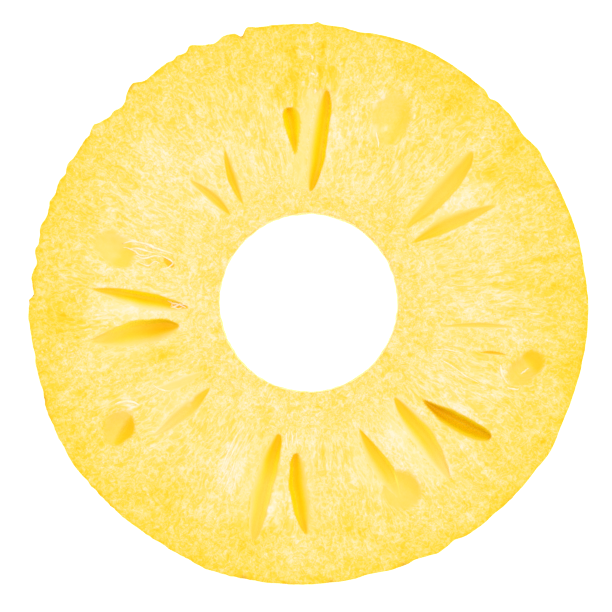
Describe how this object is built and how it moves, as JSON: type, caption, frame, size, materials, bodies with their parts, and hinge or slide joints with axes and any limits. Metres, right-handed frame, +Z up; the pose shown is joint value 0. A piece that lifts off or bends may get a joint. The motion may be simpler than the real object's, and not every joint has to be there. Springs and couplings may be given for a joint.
{
  "type": "pineapple ring",
  "caption": "Round slice of peeled, cored pineapple, lying flat: uneven knife-cut rim, round core hole, radiating seed pockets and shallow basins.",
  "frame": {"origin": "centre of the slice's box on the underside, on the surface that the slice lies on", "axes": "+Z up, out of the cut face that shows; +X to the right and +Y away, as the slice is seen from above"},
  "size_m": [0.0934, 0.0938, 0.012],
  "materials": {
    "flesh": "wet juicy yellow fruit flesh, translucent, with pale fibres and golden pockets"
  },
  "bodies": {
    "root": {"ring_flesh": "flesh"}
  },
  "joints": []
}
